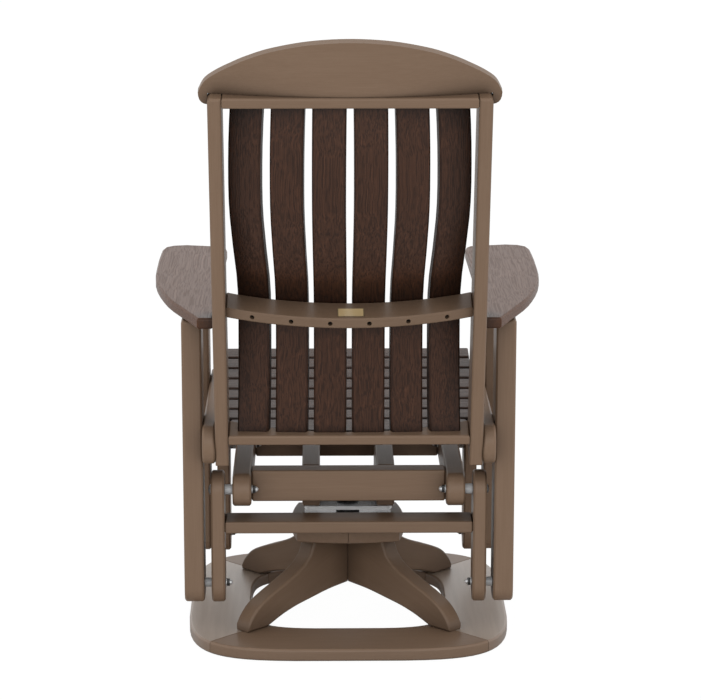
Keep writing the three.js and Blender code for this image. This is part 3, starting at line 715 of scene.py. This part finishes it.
def domed_head(name, radius, seat, height):
    """A low domed bolt head along Z that rises from its seat."""
    bpy.ops.mesh.primitive_uv_sphere_add(segments=40, ring_count=20, radius=1, location=(0, 0, seat))
    head = bpy.context.view_layer.objects.active
    head.scale = (radius, radius, height)
    head = added(name)
    edit(head)
    bpy.ops.mesh.select_all(action="SELECT")
    bpy.ops.mesh.bisect(plane_co=(0, 0, seat), plane_no=(0, 0, 1), use_fill=True, clear_inner=True)
    leave()
    return head


def acorn_nut(name, radius, length, dome_height):
    """A hexagon nut along Z, from zero upwards, and the dome that closes it."""
    bpy.ops.mesh.primitive_cylinder_add(vertices=6, radius=radius, depth=length,
                                        location=(0, 0, length / 2))
    nut = added(name)
    edit(nut)
    pick(lambda face: abs(face.normal.z) > 0.9)
    bpy.ops.mesh.bevel(offset=radius * 0.11, segments=2, affect="EDGES")
    pick(lambda face: face.normal.z > 0.98)
    bpy.ops.mesh.inset(thickness=radius * 0.08)
    leave()
    dome = domed_head(f"{name}_dome", radius * 0.72, length - 0.0002, dome_height)
    return [nut, dome]


def joined(parts, name):
    """Joins parts into one piece."""
    only(parts[0])
    for part in parts:
        part.select_set(True)
    bpy.ops.object.join()
    piece = bpy.context.view_layer.objects.active
    piece.name = name
    piece.data.name = name
    return piece


def laid(piece, matrix):
    """Lays a transform into the mesh of a piece."""
    piece.matrix_world = matrix @ piece.matrix_world
    only(piece)
    bpy.ops.object.transform_apply(location=True, rotation=True, scale=True)
    if matrix.determinant() < 0:
        edit(piece)
        bpy.ops.mesh.select_all(action="SELECT")
        bpy.ops.mesh.normals_make_consistent(inside=False)
        leave()
    return piece


def copied(piece, name):
    """A copy of a piece with a mesh of its own."""
    twin = piece.copy()
    twin.data = piece.data.copy()
    twin.name = name
    twin.data.name = name
    bpy.context.scene.collection.objects.link(twin)
    return twin


# Pieces

class GLIDER_OT_base_ring(bpy.types.Operator):
    """Finish the four mitred boards of the base ring"""
    bl_idname = "glider.base_ring"
    bl_label = "Base ring"

    def execute(self, context):
        thick_boards(["base_ring_front", "base_ring_rear"], "across", "ring_end")
        thick_boards(["base_ring_left", "base_ring_right"], "fore_aft", "ring_side")
        return {"FINISHED"}


class GLIDER_OT_base_legs(bpy.types.Operator):
    """Finish the splayed base legs and the hub board"""
    bl_idname = "glider.base_legs"
    bl_label = "Base legs and hub"

    def execute(self, context):
        thick_boards([f"base_leg_{end}_{side}" for end, _ in ENDS for side, _ in SIDES], "splayed", "splayed")
        thick_boards(["hub_plate"], "fore_aft")
        return {"FINISHED"}


class GLIDER_OT_swivel(bpy.types.Operator):
    """Finish the swivel plates and model the bearing between them, the cap on top and the bolts"""
    bl_idname = "glider.swivel"
    bl_label = "Swivel"

    def execute(self, context):
        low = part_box("swivel_plate_fixed")[0][2]
        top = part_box("swivel_plate_turning")[1][2]
        axis = Matrix.Translation((0, AXIS_Y, 0))
        for node in ("swivel_plate_fixed", "swivel_plate_turning"):
            plate = board(node, steel(), width=0.0004, steps=2)
            clad_part(plate, steel("sheet"), lambda face: face.normal.z > 0.9)

        cap = round_bar("swivel_cap", CAP_RADIUS, top + CAP_GAP, top + CAP_TOP, sides=64, rim=0.0015)
        edit(cap)
        pick(lambda face: face.normal.z > 0.98)
        bpy.ops.mesh.inset(thickness=0.004)
        bpy.ops.mesh.inset(thickness=0.001, depth=-0.002)
        leave()
        laid(cap, axis)
        smooth(40)
        clad(cap, black_bearing())
        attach(cap, "turntable")

        foot, head = low + BEARING_INSET, top - BEARING_INSET
        groove_low, groove_high = (foot + (head - foot) * share for share in BEARING_GROOVE)
        bearing = round_bar("swivel_bearing", BEARING_RADIUS, foot, head, sides=72, rim=0.001)
        edit(bearing)
        for level in (groove_low, (groove_low + groove_high) / 2, groove_high):
            cut(level)
        pick(lambda face: abs(face.normal.z) < 0.2 and groove_low < face.calc_center_median().z < groove_high)
        bpy.ops.mesh.inset(thickness=0.0006, depth=-0.003)
        leave()
        laid(bearing, axis)
        smooth(40)
        clad(bearing, black_bearing())
        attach(bearing, "base")

        bolts = []
        for x in PLATE_BOLT_OFFSETS:
            for y in PLATE_BOLT_OFFSETS:
                head = domed_head("plate_bolt", PLATE_BOLT_RADIUS, 0, PLATE_BOLT_HEIGHT)
                bolts.append(laid(head, Matrix.Translation((x, AXIS_Y + y, low + PLATE_BOLT_SEAT))))
        bolts = joined(bolts, "swivel_plate_bolts")
        smooth(40)
        clad(bolts, steel())
        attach(bolts, "base")
        return {"FINISHED"}


class GLIDER_OT_turning_frame(bpy.types.Operator):
    """Finish the boards of the frame that the links hang from"""
    bl_idname = "glider.turning_frame"
    bl_label = "Turning frame"

    def execute(self, context):
        thick_boards([f"{kind}_{side}" for kind in ("frame_side", "frame_bearer") for side, _ in SIDES],
                     "fore_aft")
        thick_boards(["frame_cross_front", "frame_cross_rear"], "across", "frame")
        return {"FINISHED"}


class GLIDER_OT_links(bpy.types.Operator):
    """Finish the four glide links and the spreader"""
    bl_idname = "glider.links"
    bl_label = "Glide links"

    def execute(self, context):
        thick_boards([f"link_{end}_{side}" for end, _ in ENDS for side, _ in SIDES], "upright")
        thick_boards(["link_spreader"], "across", "cornered")
        return {"FINISHED"}


class GLIDER_OT_pivots(bpy.types.Operator):
    """Model the pivot bolts with their heads, sleeves, washers and acorn nuts"""
    bl_idname = "glider.pivots"
    bl_label = "Pivot hardware"

    def stack(self, sizes, name, nut_seat, sleeve_radius, sleeve_low, sleeve_high, head_seat):
        """One bolt along Z: its washer and nut lie under nut_seat, and its head rises from head_seat."""
        washer_low = nut_seat - WASHER_THICKNESS
        parts = [
            round_bar(f"{name}_bolt", sizes.bolt_radius, nut_seat - BOLT_IN_NUT, head_seat + BOLT_IN_HEAD, 24),
            domed_head(f"{name}_head", sizes.head_radius, head_seat, HEAD_HEIGHT),
            sleeve(f"{name}_sleeve", sleeve_radius, sleeve_low, sleeve_high),
            round_bar(f"{name}_washer", sizes.washer_radius, washer_low, nut_seat, rim=0.0005),
        ]
        nut = acorn_nut(f"{name}_nut", sizes.nut_radius, NUT_LENGTH, NUT_DOME_HEIGHT)
        for part in nut:
            laid(part, Matrix.Translation((0, 0, washer_low)) @ Matrix.Rotation(math.pi, 4, "X"))
        # The nuts' sides take the dark steel, which paints their dark reflections
        for part, kind in zip(parts + nut, ("bright", "bright", "dull", "bright", "dark", "bright")):
            clad(part, steel(kind))
        piece = joined(parts + nut, name)
        smooth(32)
        return piece

    def execute(self, context):
        sizes = context.scene.glider_hardware
        rail, link, leg = (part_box(node) for node in ("frame_side_left", "link_rear_left", "leg_rear_left"))
        (rail_low, rail_high), (link_low, link_high), (leg_low, leg_high) = (
            (low[0], high[0]) for low, high in (rail, link, leg))
        upper = self.stack(sizes, "upper_pivot", rail_low - PIVOT_GAP, UPPER_SLEEVE_RADIUS,
                           rail_high + PIVOT_GAP, link_low - PIVOT_GAP, link_high + PIVOT_GAP)
        lower = self.stack(sizes, "lower_pivot", link_low - PIVOT_GAP, LOWER_SLEEVE_RADIUS,
                           link_high + PIVOT_GAP, leg_low - PIVOT_GAP, leg_high - HEAD_SINK)
        along_x = Matrix.Rotation(math.pi / 2, 4, "Y")
        reach = JOINTS["glide"]["pos_m"][1] - AXIS_Y
        for level, pattern, joint in (("upper", upper, "glide"), ("lower", lower, "chair_level")):
            height = JOINTS[joint]["pos_m"][2]
            for end, end_sign in ENDS:
                for side, side_sign in SIDES:
                    piece = copied(pattern, f"pivot_set_{level}_{end}_{side}")
                    move = Matrix.Translation((0, AXIS_Y + end_sign * reach, height))
                    laid(piece, move @ Matrix.Scale(side_sign, 4, (1, 0, 0)) @ along_x)
                    seat_on(piece, f"pivot_{level}_{end}_{side}")
        for pattern in (upper, lower):
            bpy.data.objects.remove(pattern, do_unlink=True)
        return {"FINISHED"}


class GLIDER_OT_chair_legs(bpy.types.Operator):
    """Finish the four chair legs"""
    bl_idname = "glider.chair_legs"
    bl_label = "Chair legs"

    def execute(self, context):
        thick_boards([f"leg_{end}_{side}" for end, _ in ENDS for side, _ in SIDES], "upright")
        return {"FINISHED"}


class GLIDER_OT_seat(bpy.types.Operator):
    """Finish the seat's side rails, runners and slats"""
    bl_idname = "glider.seat"
    bl_label = "Seat"

    def execute(self, context):
        thick_boards([f"{kind}_{side}" for kind in ("seat_side", "seat_runner") for side, _ in SIDES],
                     "fore_aft")
        sizes = context.scene.glider_boards
        for index in range(1, SEAT_SLATS + 1):
            board(f"seat_slat_{index}", grained_board("across"), sizes.board_ease, sizes.ease_steps)
        return {"FINISHED"}


class GLIDER_OT_back_frame(bpy.types.Operator):
    """Finish the posts and the three rails of the back and model the lumbar rail's screws"""
    bl_idname = "glider.back_frame"
    bl_label = "Back frame"

    def execute(self, context):
        thick_boards([f"back_post_{side}" for side, _ in SIDES], "leaning")
        thick_boards([f"back_rail_{level}" for level in ("bottom", "top")], "across")
        board("back_rail_lumbar", taupe_board("across", "cornered"), width=0.0007, steps=2)
        pattern = round_bar("lumbar_screw", SCREW_RADIUS, -SCREW_LENGTH, 0, sides=24)
        edit(pattern)
        pick(lambda face: face.normal.z > 0.98)
        bpy.ops.mesh.inset(thickness=SCREW_RADIUS * 0.4)
        bpy.ops.mesh.inset(thickness=0.0001, depth=-SOCKET_DEPTH)
        leave()
        lean = Matrix.Translation(BACK_FOOT) @ Matrix.Rotation(-LEAN, 4, "X")
        move = Matrix.Translation((0, LUMBAR_REAR - BOW_RADIUS, LUMBAR_MIDDLE))
        reach = Matrix.Translation((0, BOW_RADIUS - SCREW_DEPTH, 0))
        outwards = Matrix.Rotation(-math.pi / 2, 4, "X")
        screws = []
        for place in SCREW_PLACES:
            turn = Matrix.Rotation(-math.asin(place * SLAT_PITCH / BOW_RADIUS), 4, "Z")
            screws.append(laid(copied(pattern, "lumbar_screw"), lean @ move @ turn @ reach @ outwards))
        bpy.data.objects.remove(pattern, do_unlink=True)
        screws = joined(screws, "lumbar_screws")
        smooth(35)
        clad(screws, black_bearing())
        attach(screws, "chair")
        return {"FINISHED"}


class GLIDER_OT_back_slats(bpy.types.Operator):
    """Finish the six bent slats of the back"""
    bl_idname = "glider.back_slats"
    bl_label = "Back slats"

    def straighten(self, slat):
        """Brings the foot of a slat rearwards, so that the six feet stand in one straight row on the rail."""
        edit(slat)
        shape = bmesh.from_edit_mesh(slat.data)
        for point in shape.verts:
            drop = LUMBAR_MIDDLE - SLAT_FOOT_FROM - (point.co - BACK_FOOT).dot(BACK_UP)
            share = min(max(drop / SLAT_FOOT_LENGTH, 0), 1)
            bow = BOW_RADIUS - math.sqrt(BOW_RADIUS ** 2 - point.co.x ** 2)
            point.co += BACK_REARWARDS * (bow + SLAT_FOOT_BACK) * share
        bmesh.update_edit_mesh(slat.data)
        leave()

    def execute(self, context):
        sizes = context.scene.glider_boards
        for index in range(1, BACK_SLATS + 1):
            slat = board(f"back_slat_{index}", grained_board("leaning"), sizes.slat_ease, sizes.ease_steps,
                         angle=35)
            self.straighten(slat)
        return {"FINISHED"}


class GLIDER_OT_head_board(bpy.types.Operator):
    """Finish the bent head board"""
    bl_idname = "glider.head_board"
    bl_label = "Head board"

    def execute(self, context):
        board("head_board", taupe_board("across", "head"), width=0.0032, steps=3, angle=50)
        return {"FINISHED"}


class GLIDER_OT_arms(bpy.types.Operator):
    """Finish the two leaf-shaped arms"""
    bl_idname = "glider.arms"
    bl_label = "Arms"

    def execute(self, context):
        sizes = context.scene.glider_boards
        finish = grained_board("fore_aft", body="arm_body", stretch=2.0, contrast=0.45, coat=0.1)
        for side, _ in SIDES:
            board(f"arm_{side}", finish, sizes.board_ease, sizes.ease_steps)
        return {"FINISHED"}


class GLIDER_OT_label(bpy.types.Operator):
    """Model the blank label on the top of the lumbar rail"""
    bl_idname = "glider.label"
    bl_label = "Blank label"

    def execute(self, context):
        sizes = context.scene.glider_hardware
        bpy.ops.mesh.primitive_cube_add(size=1, location=(0, 0, LABEL_THICKNESS / 2))
        plate = context.view_layer.objects.active
        plate.scale = (sizes.label_width, sizes.label_depth, LABEL_THICKNESS)
        plate = added("blank_label")
        edit(plate)
        bpy.ops.mesh.select_mode(type="EDGE")
        shape = bmesh.from_edit_mesh(plate.data)
        for edge in shape.edges:
            edge.select_set(abs(edge.verts[0].co.z - edge.verts[1].co.z) > LABEL_THICKNESS / 2)
        bmesh.update_edit_mesh(plate.data)
        bpy.ops.mesh.bevel(offset=LABEL_CORNER, segments=5, affect="EDGES")
        bpy.ops.mesh.select_mode(type="FACE")
        pick(lambda face: face.normal.z > 0.9)
        bpy.ops.mesh.inset(thickness=LABEL_RIM, depth=-LABEL_RIM_HEIGHT)
        leave()
        clad(plate, label_finish("rim"))
        field_least = sizes.label_width * sizes.label_depth / 4
        clad_part(plate, label_finish("field"),
                  lambda face: face.normal.z > 0.9 and face.calc_area() > field_least)
        place = BACK_FOOT + BACK_UP * LABEL_UP + BACK_REARWARDS * LABEL_BACK
        place.x = LABEL_ASIDE
        laid(plate, Matrix.Translation(place) @ Matrix.Rotation(-LEAN, 4, "X"))
        smooth(30)
        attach(plate, "chair")
        return {"FINISHED"}


class GLIDER_OT_stage(bpy.types.Operator):
    """Set the floor, the light and the camera"""
    bl_idname = "glider.stage"
    bl_label = "Stage"

    def execute(self, context):
        scene = context.scene
        sizes = scene.glider_stage
        scene.view_settings.view_transform = "Standard"
        aim = Vector((AIM_ASIDE, AXIS_Y, sizes.camera_height))
        level = math.cos(sizes.camera_pitch)
        away = Vector((math.sin(sizes.camera_turn) * level, math.cos(sizes.camera_turn) * level,
                       math.sin(sizes.camera_pitch)))
        bpy.ops.object.select_all(action="DESELECT")
        bpy.ops.object.camera_add(location=aim + away * sizes.camera_distance)
        camera = context.view_layer.objects.active
        camera.name = "photo_camera"
        camera.rotation_euler = (-away).to_track_quat("-Z", "Y").to_euler()
        camera.data.lens = sizes.lens
        camera.data.sensor_width = SENSOR_WIDTH
        scene.camera = camera

        # The camera sees the floor glow nearly white, and for all other rays it is matt
        bpy.ops.mesh.primitive_plane_add(size=FLOOR_SIZE, location=(0, 0, -FLOOR_DROP))
        floor = context.view_layer.objects.active
        floor.name = "floor"
        bpy.ops.object.transform_apply(location=True, rotation=True, scale=True)
        finish = Finish(bpy.data.materials.new("pale_floor"))
        matt = finish.node("ShaderNodeBsdfDiffuse", None, {"Color": (0.7, 0.7, 0.7, 1)})
        glow = finish.node("ShaderNodeEmission", None, {"Color": (1, 1, 1, 1), "Strength": 1.06})
        seen = finish.node("ShaderNodeLightPath", output=0)
        mix = finish.node("ShaderNodeMixShader", None, {0: seen * 0.91, 1: matt, 2: glow})
        clad(floor, finish.surface(mix))

        # The camera sees a white room. Its light fades upwards, and shiny faces mirror more white from
        # the front than from the rear
        world = bpy.data.worlds.new("soft_room")
        scene.world = world
        room = Finish(world)
        seen = room.node("ShaderNodeLightPath", output=0)
        glossy = room.node("ShaderNodeLightPath", output=3)
        through = room.node("ShaderNodeLightPath", output=5)
        white = room.node("ShaderNodeBackground", None, {"Color": (1, 1, 1, 1), "Strength": 1.0})
        around = room.node("ShaderNodeTexCoord", output=0)
        height = room.node("ShaderNodeSeparateXYZ", None, {0: around}, 2).most(0.0)
        sky = room.node("ShaderNodeBackground", None,
                        {"Color": (1, 1, 1, 1), "Strength": (1.2 - height * 0.75) * sizes.sky})
        forward = room.node("ShaderNodeSeparateXYZ", None, {0: around}, 1) * -1
        facing = forward.clipped(-0.35, 0.1)
        shown = seen.most(through).most(glossy * (0.3 + facing * 0.7))
        mix = room.node("ShaderNodeMixShader", None, {0: shown, 1: sky, 2: white})
        room.surface(mix, "ShaderNodeOutputWorld")

        bpy.ops.object.light_add(type="AREA", location=LAMP_PLACE)
        lamp = context.view_layer.objects.active
        lamp.name = "key_lamp"
        lamp.data.shape = "RECTANGLE"
        lamp.data.size, lamp.data.size_y = LAMP_SIZE
        lamp.data.energy = sizes.key
        lamp.rotation_euler = (LAMP_AIM - LAMP_PLACE).to_track_quat("-Z", "Y").to_euler()
        return {"FINISHED"}


PIECES = (
    GLIDER_OT_base_ring, GLIDER_OT_base_legs, GLIDER_OT_swivel, GLIDER_OT_turning_frame, GLIDER_OT_links,
    GLIDER_OT_pivots, GLIDER_OT_chair_legs, GLIDER_OT_seat, GLIDER_OT_back_frame, GLIDER_OT_back_slats,
    GLIDER_OT_head_board, GLIDER_OT_arms, GLIDER_OT_label, GLIDER_OT_stage,
)
GROUPS = {
    "glider_boards": BoardProperties,
    "glider_colours": ColourProperties,
    "glider_hardware": HardwareProperties,
    "glider_stage": StageProperties,
}


class GLIDER_PT_sidebar(bpy.types.Panel):
    """Lists the sizes, the colours and the steps that build the chair's looks"""
    bl_idname = "GLIDER_PT_sidebar"
    bl_label = "Swivel glider chair"
    bl_space_type = "VIEW_3D"
    bl_region_type = "UI"
    bl_category = "Glider"

    def draw(self, context):
        for name, group in GROUPS.items():
            box = self.layout.box()
            for prop in group.__annotations__:
                box.prop(getattr(context.scene, name), prop)
        for piece in PIECES:
            self.layout.operator(piece.bl_idname)


def register():
    for group in GROUPS.values():
        bpy.utils.register_class(group)
    for piece in PIECES:
        bpy.utils.register_class(piece)
    bpy.utils.register_class(GLIDER_PT_sidebar)
    for name, group in GROUPS.items():
        setattr(bpy.types.Scene, name, PointerProperty(type=group))


def unregister():
    for name in GROUPS:
        delattr(bpy.types.Scene, name)
    bpy.utils.unregister_class(GLIDER_PT_sidebar)
    for piece in reversed(PIECES):
        bpy.utils.unregister_class(piece)
    for group in reversed(list(GROUPS.values())):
        bpy.utils.unregister_class(group)


def main():
    register()
    for piece in PIECES:
        group, action = piece.bl_idname.split(".")
        getattr(getattr(bpy.ops, group), action)()
    if bpy.context.mode != "OBJECT":
        bpy.ops.object.mode_set(mode="OBJECT")


if __name__ == "__main__":
    main()
